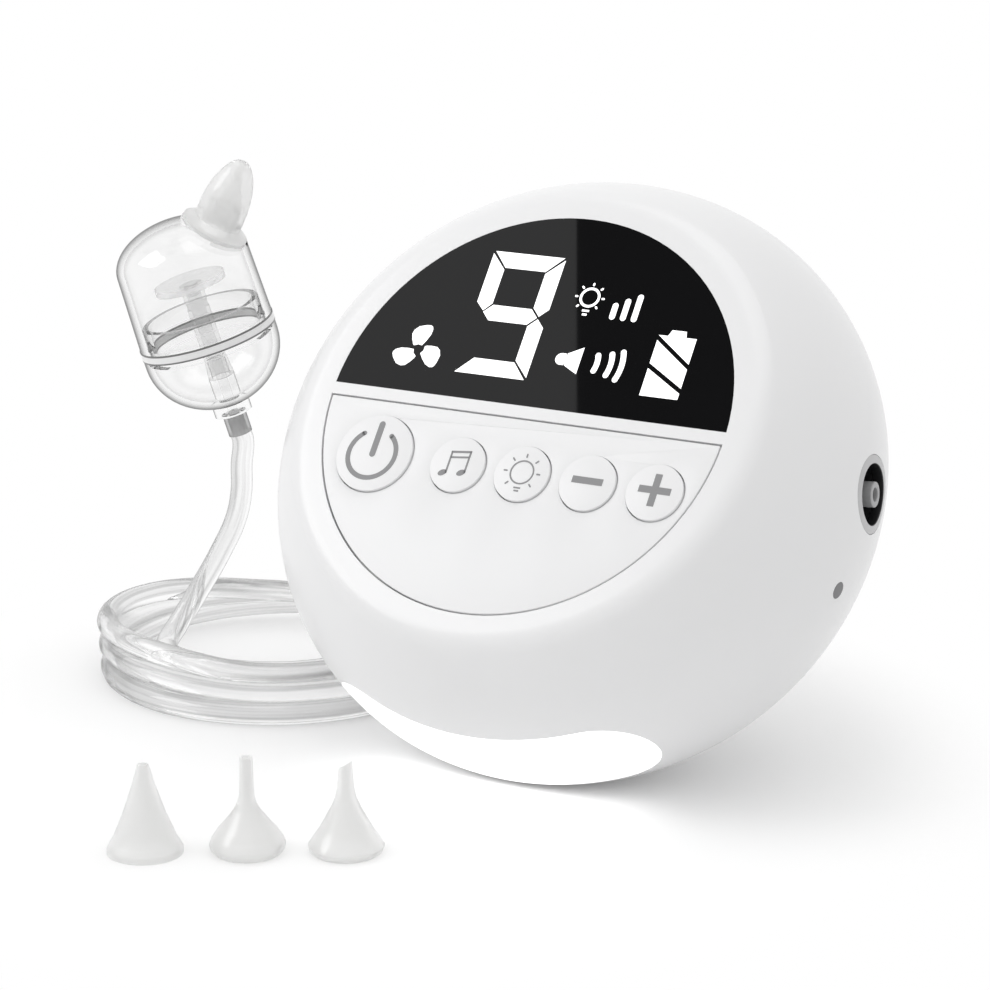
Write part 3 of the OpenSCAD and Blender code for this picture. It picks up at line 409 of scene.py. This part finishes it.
def sign(name, shapes, carrier, body, material, thickness=0.05 * MM):
    """A thin sign made of outlines in mm, laid flat on its carrier at the image point of that name."""
    xs, ys = [x for s in shapes for x, _ in s], [y for s in shapes for _, y in s]
    middle_x, middle_y = (min(xs) + max(xs)) / 2, (min(ys) + max(ys)) / 2
    mesh = bmesh.new()
    for shape in shapes:
        area = sum(a[0] * b[1] - b[0] * a[1] for a, b in zip(shape, shape[1:] + shape[:1]))
        ring = shape if area > 0 else shape[::-1]
        low, high = [[mesh.verts.new(((x - middle_x) * MM, (y - middle_y) * MM, z)) for x, y in ring]
                     for z in (-thickness, thickness)]
        mesh.faces.new(high)
        mesh.faces.new(low[::-1])
        for i in range(len(ring)):
            j = (i + 1) % len(ring)
            mesh.faces.new((low[i], low[j], high[j], high[i]))
    data = bpy.data.meshes.new(name)
    mesh.to_mesh(data)
    mesh.free()
    data.materials.append(material)
    o = bpy.data.objects.new(name, data)
    bpy.context.scene.collection.objects.link(o)
    place = Matrix((face_right, face_up, face_out)).transposed().to_4x4()
    # A few rounds of aiming bring the middle of what shows onto the point.
    aim = target = Vector(IMAGE_POINTS[name])
    for _ in range(3):
        place.translation = on_surface(*aim, frame["nodes"][carrier])
        spots = [in_photo(place @ v.co) for v in data.vertices]
        aim = aim + target - Vector([(min(c) + max(c)) / 2 for c in zip(*spots)])
    o.matrix_world = place
    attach(o, body)


lit_white = finish("lit_sign", (0.9, 0.9, 0.9), 0.4, Emission_Color=(1, 1, 1, 1), Emission_Strength=0.9)


def lit_sign(name, shapes):
    """A sign on the window, lit in white."""
    sign(name, shapes, "display_window", "main_unit", lit_white)


# The figure is a seven segment nine: its lower left segment is dark. Mitred ends leave thin gaps.
figure_w, figure_h, stroke, mitre_gap = 15.4, 25.9, 3.3, 0.3
g, t, w, h = mitre_gap, stroke, figure_w / 2, figure_h / 2
segments = [
    [(-w + g, h), (w - g, h), (w - t - g * 0.4, h - t), (-w + t + g * 0.4, h - t)],
    [(-w, h - g * 1.6), (-w + t, h - t - g * 1.4), (-w + t, t / 2 + g), (-w + t * 0.55, g * 0.9),
     (-w, t / 2 + g)],
    [(w, h - g * 1.6), (w, t / 2 + g), (w - t * 0.5, g * 0.9), (w - t, t / 2 + g),
     (w - t, h - t - g * 1.4)],
    [(-w + t + g, t / 2), (w - t - g, t / 2), (w - t / 2 - g, 0), (w - t - g, -t / 2),
     (-w + t + g, -t / 2), (-w + t / 2 + g, 0)],
    [(w, -t / 2 - g), (w, -h + g * 1.6), (w - t, -h + t + g * 1.4), (w - t, -t / 2 - g),
     (w - t * 0.5, -g * 0.9)],
    [(-w + g, -h), (w - g, -h), (w - t - g * 0.4, -h + t), (-w + t + g * 0.4, -h + t)],
]
lit_sign("digit", segments)

# Three fan blades round a dark hub. One blade, as distances in mm and angles, is repeated in a turn.
blade = [(1.43, 149), (1.14, 107), (1.01, 66), (2.36, 63), (3.75, 65), (4.81, 70), (5.25, 75),
         (5.36, 80), (5.24, 89), (5.01, 106), (4.55, 119), (3.94, 128), (2.82, 136), (1.83, 146)]
blades = [[(r * math.cos(math.radians(a + turn)), r * math.sin(math.radians(a + turn)))
           for r, a in blade] for turn in (0, 116, 246)]
lit_sign("fan_sign", blades)


def lamp_shapes(ring_r, ring_w, ray_in, ray_out, ray_w, base_y, base_w):
    """A lamp: a ring, seven rays and two short base lines."""
    shapes = arc(0, 0, ring_r, ring_w, 0, 360, 40, round_end=False)
    for angle in (-45, 0, 45, 90, 135, 180, 225):
        a = math.radians(angle)
        shapes.append(bar(ray_in * math.cos(a), ray_in * math.sin(a),
                          ray_out * math.cos(a), ray_out * math.sin(a), ray_w))
    for row, half in ((0, base_w / 2), (1, base_w / 3)):
        shapes.append(bar(-half, base_y - row * ray_w * 2, half, base_y - row * ray_w * 2, ray_w, False))
    return shapes


lit_sign("lamp_sign", lamp_shapes(ring_r=1.85, ring_w=0.5, ray_in=2.62, ray_out=2.9, ray_w=0.4,
                                  base_y=-2.8, base_w=1.45))
lit_sign("level_sign", [bar(2.25 * i, 0, 2.25 * i, 2.35 + 1.13 * i, 1.17) for i in range(3)])
sounder = [disc(1.25, 0, 1.2), [(1.25, 1.2), (2.05, 1.2), (2.05, -1.2), (1.25, -1.2)],
           [(2.25, 1.25), (5.2, 2.85), (5.2, -2.7), (2.25, -1.25)]]
for radius, x, half in ((5.5, 3.2, 17), (7.5, 4.0, 17), (9, 4.75, 18.5)):
    sounder += arc(x, 0, radius, 1.1, -half, half, 16)
lit_sign("sound_sign", sounder)
cell_w, cell_h, cap_w, cap_h, slant, cut = 7.7, 12.5, 2.9, 1.25, 4.75, 1.05
a, b = cell_w / 2, cell_h / 2
lit_sign("battery_sign", [
    [(-a, b), (-a + 1.9, b), (-a + 2.4, b + cap_h), (-a + 2.4 + cap_w, b + cap_h), (-a + 5.6, b), (a, b),
     (a, b - slant - 0.5)],
    [(-a, b - cut), (a, b - slant - 0.5 - cut), (a, -b + 2.3), (-a, -b + 2.3 + slant - 0.4)],
    [(-a, -b + 2.3 + slant - 0.4 - cut), (a, -b + 2.3 - cut), (a, -b), (-a, -b)],
])

# ---- Control panel and buttons ----
# A white satin plate in a shallow pocket, and five caps that stand a little proud of it in close
# holes. Each cap is pad printed in grey, and its print travels with it.
panel_white = finish("white_panel", (0.87, 0.87, 0.875), 0.36, uneven=0.02, tint=0.99)
paint(panel_white, "control_panel", soften=0.15 * MM)
paint(panel_white, "power_button", "music_button", "light_button", "minus_button", "plus_button",
      soften=0.25 * MM)
print_grey = finish("grey_print", (0.27, 0.27, 0.275), 0.5)


def printed_mark(name, shapes):
    """A grey print on the button of the same name."""
    button = name.replace("_mark", "_button")
    sign(name, shapes, button, button, print_grey)


printed_mark("power_mark", arc(0, 0, 4.95, 0.95, 127, 415, 40) + [bar(0.1, 6.2, 0.1, 0, 1.25)])
note_heads = [[(x + 0.85 * math.cos(t), y + 0.62 * math.sin(t) + 0.25 * math.cos(t))
               for t in (2 * math.pi * i / 20 for i in range(20))]
              for x, y in ((-2.1, -2.2), (1.7, -1.75))]
printed_mark("music_mark", note_heads + [
    bar(-1.4, -2.2, -1.4, 2.3, 0.36, False), bar(2.4, -1.75, 2.4, 2.75, 0.36, False),
    bar(-1.58, 2.15, 2.58, 2.62, 0.42, False), bar(-1.4, 1.05, 2.4, 1.5, 0.36, False)])
printed_mark("light_mark", lamp_shapes(ring_r=2.3, ring_w=0.3, ray_in=3.1, ray_out=3.65, ray_w=0.3,
                                       base_y=-3.15, base_w=1.4))
printed_mark("minus_mark", [bar(-3.1, 0, 3.1, 0, 1.35, False)])
arm, half = 3.2, 0.68
printed_mark("plus_mark", [[(-arm, half), (-arm, -half), (arm, -half), (arm, half)],
                           [(-half, arm), (-half, half), (half, half), (half, arm)],
                           [(-half, -half), (-half, -arm), (half, -arm), (half, -half)]])

# ---- Night light ----
# A frosted opal lens that wraps under the front, held by a flange behind the shell. Six LEDs on a board
# behind it light it evenly. The small grey light pipe beside the port shows that the unit charges.
paint(finish("opal_lens", (0.9, 0.9, 0.9), 0.35, Emission_Color=(1, 1, 1, 1), Emission_Strength=0.75),
      "night_light_lens")
paint(finish("led_phosphor", (0.9, 0.82, 0.35), 0.3), "glow_leds")
paint(finish("light_pipe_grey", (0.17, 0.17, 0.175), 0.25), "charge_light")

# ---- Air port ----
# A satin grey ring round a dark moulded cup, with a hollow grey spigot that takes the hose. The ring's
# bore faces are painted near black like the cup, a painted shade in the recess: its finish tells the
# bore's faces by the way they look.


def outer_share(tree, middle, least):
    """A value of 1 on faces that look away from a middle, and `least` on those that look towards it."""
    place, side, outward, unit, facing, flip, signed, share = [
        tree.nodes.new("ShaderNode" + kind) for kind in (
            "TexCoord", "NewGeometry", "VectorMath", "VectorMath", "VectorMath", "MapRange", "Math",
            "MapRange")]
    outward.operation, unit.operation, facing.operation = "SUBTRACT", "NORMALIZE", "DOT_PRODUCT"
    signed.operation = "MULTIPLY"
    outward.inputs[1].default_value = middle
    flip.inputs["To Min"].default_value, flip.inputs["To Max"].default_value = 1, -1
    inside_below, outside_above = 0.3, 0.4
    share.inputs["From Min"].default_value = inside_below
    share.inputs["From Max"].default_value = outside_above
    share.inputs["To Min"].default_value = least
    tree.links.new(place.outputs["Object"], outward.inputs[0])
    tree.links.new(outward.outputs["Vector"], unit.inputs[0])
    tree.links.new(unit.outputs["Vector"], facing.inputs[0])
    tree.links.new(place.outputs["Normal"], facing.inputs[1])
    tree.links.new(side.outputs["Backfacing"], flip.inputs["Value"])
    tree.links.new(facing.outputs["Value"], signed.inputs[0])
    tree.links.new(flip.outputs["Result"], signed.inputs[1])
    tree.links.new(signed.outputs[0], share.inputs["Value"])
    return share.outputs["Result"]


def middle_of(node):
    """Mean of a node's corner points."""
    points = [v.co for v in frame["nodes"][node].data.vertices]
    return sum(points, Vector()) / len(points)


ring_grey = finish("grey_port_ring", (0.56, 0.56, 0.565), 0.35)
tree, ring_middle = ring_grey.node_tree, middle_of("port_ring")
inwards = (housing_middle - ring_middle).normalized()
behind_ring, port_black = 4 * MM, (0.012, 0.012, 0.013)
# The faces that look into the recess are painted near black, a painted shade.
painted_shade = tree.nodes.new("ShaderNodeMix")
painted_shade.data_type = "RGBA"
painted_shade.inputs["A"].default_value = (*port_black, 1)
base_colour = tree.nodes["Principled BSDF"].inputs["Base Color"]
tree.links.new(base_colour.links[0].from_socket, painted_shade.inputs["B"])
tree.links.new(outer_share(tree, ring_middle + inwards * behind_ring, 0), painted_shade.inputs["Factor"])
tree.links.new(painted_shade.outputs["Result"], base_colour)
paint(ring_grey, "port_ring", soften=0.2 * MM)
paint(finish("black_moulding", port_black, 0.45, grain=1400, bump=0.2), "port_cup")
paint(finish("grey_spigot", (0.36, 0.36, 0.365), 0.3), "air_spigot", soften=0.15 * MM)

# ---- Collection cup ----
# A clear polystyrene dome, pressed over a clear bowl with a soft seal ring between them. A milky
# standpipe with a round baffle on it stands in the bowl.
inner_share = 0.3
for name in ("cup_dome", "cup_bowl"):
    # The outline is painted dark, a painted shade. Only the outer faces take it fully, so the wall shows
    # one thin dark line.
    cup_clear = clear("clear_" + name, (0.96, 0.96, 0.96), (0.01, 0.01, 0.01), edge_from=0.5, ior=1.05,
                      roughness=0.02, edge_to=0.9)
    tree = cup_clear.node_tree
    weighed = tree.nodes.new("ShaderNodeMath")
    weighed.operation = "MULTIPLY"
    darkening = tree.nodes["tint"].inputs["Factor"]
    tree.links.new(darkening.links[0].from_socket, weighed.inputs[0])
    tree.links.new(outer_share(tree, middle_of(name), inner_share), weighed.inputs[1])
    tree.links.new(weighed.outputs[0], darkening)
    paint(cup_clear, name)
# The standpipe, baffle and sleeve have their outlines painted darker, a painted shade.
paint(clear("milky_plastic", (0.96, 0.96, 0.96), (0.82, 0.82, 0.82), edge_from=0.35, ior=1.03,
            roughness=0.2, Transmission_Weight=0.92), "standpipe", "baffle_disc")
paint(clear("sleeve_silicone", (0.62, 0.62, 0.62), (0.12, 0.12, 0.12), edge_from=0.35, ior=1.04,
            roughness=0.3, Transmission_Weight=0.8), "hose_sleeve")

# The seal ring is pale. Its upper and lower edges are painted dark, a painted shade in the gaps where it
# meets the two halves.
seal_pale = finish("seal_ring", (0.88, 0.88, 0.88), 0.3, uneven=0.05)
tree = seal_pale.node_tree
shader = tree.nodes["Principled BSDF"]
seal_heights = [v.co.dot(cup_up) for v in frame["nodes"]["cup_seal_ring"].data.vertices]
place, along, offset, distance, edge, painted_shade = [tree.nodes.new("ShaderNode" + kind) for kind in (
    "TexCoord", "VectorMath", "Math", "Math", "MapRange", "Mix")]
along.operation, offset.operation, distance.operation = "DOT_PRODUCT", "SUBTRACT", "ABSOLUTE"
along.inputs[1].default_value = cup_up
offset.inputs[1].default_value = (min(seal_heights) + max(seal_heights)) / 2
half_ring = (max(seal_heights) - min(seal_heights)) / 2
line_from, line_full = 0.6 * half_ring, 0.72 * half_ring
edge.inputs["From Min"].default_value, edge.inputs["From Max"].default_value = line_from, line_full
painted_shade.data_type = "RGBA"
painted_shade.inputs["B"].default_value = (0.16, 0.16, 0.16, 1)
tree.links.new(shader.inputs["Base Color"].links[0].from_socket, painted_shade.inputs["A"])
tree.links.new(place.outputs["Object"], along.inputs[0])
tree.links.new(along.outputs["Value"], offset.inputs[0])
tree.links.new(offset.outputs[0], distance.inputs[0])
tree.links.new(distance.outputs[0], edge.inputs["Value"])
tree.links.new(edge.outputs["Result"], painted_shade.inputs["Factor"])
tree.links.new(painted_shade.outputs["Result"], shader.inputs["Base Color"])
paint(seal_pale, "cup_seal_ring")

# ---- Nozzle and spare tips ----
# Soft moulded silicone, milky and slightly see-through. The fitted nozzle is pushed onto the dome's
# spout, and three spare tips of other shapes stand beside the unit.
# Its outline is painted lighter, a painted sheen.
silicone = clear("milky_silicone", (0.96, 0.96, 0.955), (1, 1, 1), edge_from=0.45, ior=1.1,
                 roughness=0.3, Transmission_Weight=0.65, Sheen_Weight=0.3)
add_grain(silicone, grain=1500, patch=60, bump=0.1)
paint(silicone, "nozzle", "cone_tip", "long_tip", "short_tip", soften=0.2 * MM, crisp=45)

# ---- Inner parts ----
# What the shells close in: boards, switches, pump, battery, speaker and screws. The boards are coated
# glass fibre, the pump's head and the battery's cradle are black mouldings, and the cell wears a film.
board_green = finish("solder_mask", (0.01, 0.09, 0.035), 0.35, patch=300, tint=0.6)
paint(board_green, "display_board", "light_board", "usb_board")
inner_black = finish("inner_black", (0.015, 0.015, 0.016), 0.5, grain=1400, bump=0.25)
paint(inner_black, "display_block", "key_switches", "pump_bracket", "pump_head", "pump_cap",
      "battery_cradle", "speaker")
paint(finish("keypad_silicone", (0.5, 0.5, 0.5), 0.55), "keypad_mat")
steel = finish("plain_steel", (0.55, 0.55, 0.57), 0.3, uneven=0.08, patch=200, Metallic=1.0)
paint(steel, "board_screws", "pump_motor", "pump_rotor", "pump_screws", "shell_screws", "usb_socket")
paint(finish("black_rubber", (0.02, 0.02, 0.02), 0.65), "pump_diaphragm")
paint(finish("suction_silicone", (0.7, 0.7, 0.7), 0.4, Transmission_Weight=0.6), "suction_tube")
paint(finish("battery_wrap", (0.03, 0.11, 0.3), 0.25), "battery_cell")

# ---- Stage ----
# A plain white floor, which keeps the object's soft shadow near it and fades to plain white light away
# from it. The world is plain white, and two large soft lamps stand at the left and above.
floor_r, floor_corners, fade_from, fade_to = 3.0, 96, 0.088, 0.125
fade_middle, near_light = (-0.03, -0.02, 0), 0.14


def shown_as_background(tree):
    """A value of 1 for the rays that show a background: from the camera, off gloss and through glass."""
    path, either, any_of = (tree.nodes.new(kind) for kind in (
        "ShaderNodeLightPath", "ShaderNodeMath", "ShaderNodeMath"))
    either.operation = any_of.operation = "MAXIMUM"
    tree.links.new(path.outputs["Is Camera Ray"], either.inputs[0])
    tree.links.new(path.outputs["Is Glossy Ray"], either.inputs[1])
    tree.links.new(either.outputs[0], any_of.inputs[0])
    tree.links.new(path.outputs["Is Transmission Ray"], any_of.inputs[1])
    return any_of.outputs[0]


def plain_sheet(name, outline):
    """A flat sheet of the stage, from the places of its corners."""
    mesh = bmesh.new()
    mesh.faces.new([mesh.verts.new(p) for p in outline])
    data = bpy.data.meshes.new(name)
    mesh.to_mesh(data)
    mesh.free()
    o = bpy.data.objects.new(name, data)
    bpy.context.scene.collection.objects.link(o)
    return o


floor_turns = [2 * math.pi * i / floor_corners for i in range(floor_corners)]
floor = plain_sheet("floor", [(floor_r * math.cos(turn), floor_r * math.sin(turn), 0)
                              for turn in floor_turns])
floor_paint = bpy.data.materials.new("white_floor")
floor_paint.use_nodes = True
tree = floor_paint.node_tree
floor_shader, output = tree.nodes["Principled BSDF"], tree.nodes["Material Output"]
floor_shader.inputs["Base Color"].default_value = (0.9, 0.9, 0.9, 1)
floor_shader.inputs["Roughness"].default_value = 1.0
floor_shader.inputs["Specular IOR Level"].default_value = 0.0
place, reach, away, lift, added, white, faded = (tree.nodes.new("ShaderNode" + kind) for kind in (
    "TexCoord", "VectorMath", "MapRange", "Emission", "AddShader", "Emission", "MixShader"))
reach.operation = "DISTANCE"
reach.inputs[1].default_value = fade_middle
away.interpolation_type = "SMOOTHSTEP"
away.inputs["From Min"].default_value, away.inputs["From Max"].default_value = fade_from, fade_to
far_and_seen, near_lift = tree.nodes.new("ShaderNodeMath"), tree.nodes.new("ShaderNodeMath")
far_and_seen.operation = near_lift.operation = "MULTIPLY"
near_lift.inputs[1].default_value = near_light
seen = shown_as_background(tree)
tree.links.new(place.outputs["Object"], reach.inputs[0])
tree.links.new(reach.outputs["Value"], away.inputs["Value"])
tree.links.new(away.outputs["Result"], far_and_seen.inputs[0])
tree.links.new(seen, far_and_seen.inputs[1])
tree.links.new(seen, near_lift.inputs[0])
tree.links.new(near_lift.outputs[0], lift.inputs["Strength"])
tree.links.new(floor_shader.outputs[0], added.inputs[0])
tree.links.new(lift.outputs[0], added.inputs[1])
tree.links.new(far_and_seen.outputs[0], faded.inputs["Fac"])
tree.links.new(added.outputs[0], faded.inputs[1])
tree.links.new(white.outputs[0], faded.inputs[2])
tree.links.new(faded.outputs[0], output.inputs["Surface"])
floor.data.materials.append(floor_paint)

# A black and a white board stand side by side where the window mirrors them. Only reflections show
# them.
board_distance = 0.6


def mirrored_place(x, y):
    """Where a thing stands that a point of the face, in mm from its middle, mirrors to the camera."""
    p = face_middle + (face_right * x + face_up * y) * MM
    ray = (p - camera.location).normalized()
    return p + (ray - face_out * 2 * ray.dot(face_out)) * board_distance


for name, glow, corners in (("black_board", 0.0, ((14.5, -10), (-6.3, 52), (60, 52), (60, -10))),
                            ("white_board", 1.0, ((14.5, -10), (-6.3, 52), (-50, 52), (-50, -10)))):
    board = plain_sheet(name, [mirrored_place(*p) for p in corners])
    board_paint = bpy.data.materials.new(name)
    board_paint.use_nodes = True
    board_shader = board_paint.node_tree.nodes["Principled BSDF"]
    board_shader.inputs["Base Color"].default_value = (0, 0, 0, 1)
    board_shader.inputs["Specular IOR Level"].default_value = 0.0
    board_shader.inputs["Emission Color"].default_value = (1, 1, 1, 1)
    board_shader.inputs["Emission Strength"].default_value = glow
    board.data.materials.append(board_paint)
    board.visible_camera = board.visible_diffuse = False
    board.visible_shadow = board.visible_transmission = False

bpy.context.scene.view_settings.view_transform = "Standard"
world = bpy.data.worlds.new("studio")
bpy.context.scene.world = world
world.use_nodes = True
tree = world.node_tree
sky = tree.nodes["Background"]
sky.inputs["Color"].default_value = (1, 1, 1, 1)
strength = tree.nodes.new("ShaderNodeMapRange")
sky_on_things, sky_seen = 0.7, 1.0
strength.inputs["To Min"].default_value = sky_on_things
strength.inputs["To Max"].default_value = sky_seen
tree.links.new(shown_as_background(tree), strength.inputs["Value"])
tree.links.new(strength.outputs["Result"], sky.inputs["Strength"])


def softbox(name, place, size, power):
    """A square lamp that looks at the middle of the housing and isn't seen by the camera."""
    data = bpy.data.lights.new(name, "AREA")
    data.shape, data.size, data.energy = "SQUARE", size, power
    o = bpy.data.objects.new(name, data)
    bpy.context.scene.collection.objects.link(o)
    o.location = place
    o.rotation_mode = "QUATERNION"
    o.rotation_quaternion = (o.location - housing_middle).to_track_quat("Z", "Y")
    o.visible_camera = False


softbox("key_left", Vector((-0.75, -0.55, 0.75)), size=0.6, power=3.0)
softbox("top_fill", Vector((0.1, 0.1, 1.1)), size=0.9, power=2.2)

# ---- Image points ----
# How far each named thing shows from its point: edges by the shell's own vertices, the rest by the
# middle of what shows.
bpy.context.view_layer.update()
see_through = {"cup_dome", "cup_bowl", "hose_tube", "hose_coil"}
solid_nodes = {name: o for name, o in frame["nodes"].items() if name not in see_through}
all_solids = tree_of(*solid_nodes.values())


def shows(point):
    """Whether nothing solid stands between the camera and a point, up to just short of it."""
    short_of_it = 0.4 * MM
    towards = point - camera.location
    hit = all_solids.ray_cast(camera.location, towards.normalized(), towards.length - short_of_it)[0]
    return hit is None


edge_of = {"housing_left": (0, min), "housing_right": (0, max),
           "housing_top": (1, min), "housing_bottom": (1, max)}
housing_seen = [in_photo(v.co) for name in ("front_shell", "rear_cover", "night_light_lens", "base_foot")
                for v in frame["nodes"][name].data.vertices]
for name, (x, y) in IMAGE_POINTS.items():
    if name in edge_of:
        axis, pick = edge_of[name]
        round(pick(p[axis] for p in housing_seen) - (x, y)[axis], 2)
    else:
        o = bpy.data.objects[name]
        places = [o.matrix_world @ v.co for v in o.data.vertices]
        spots = [in_photo(p) for p in places if shows(p)]
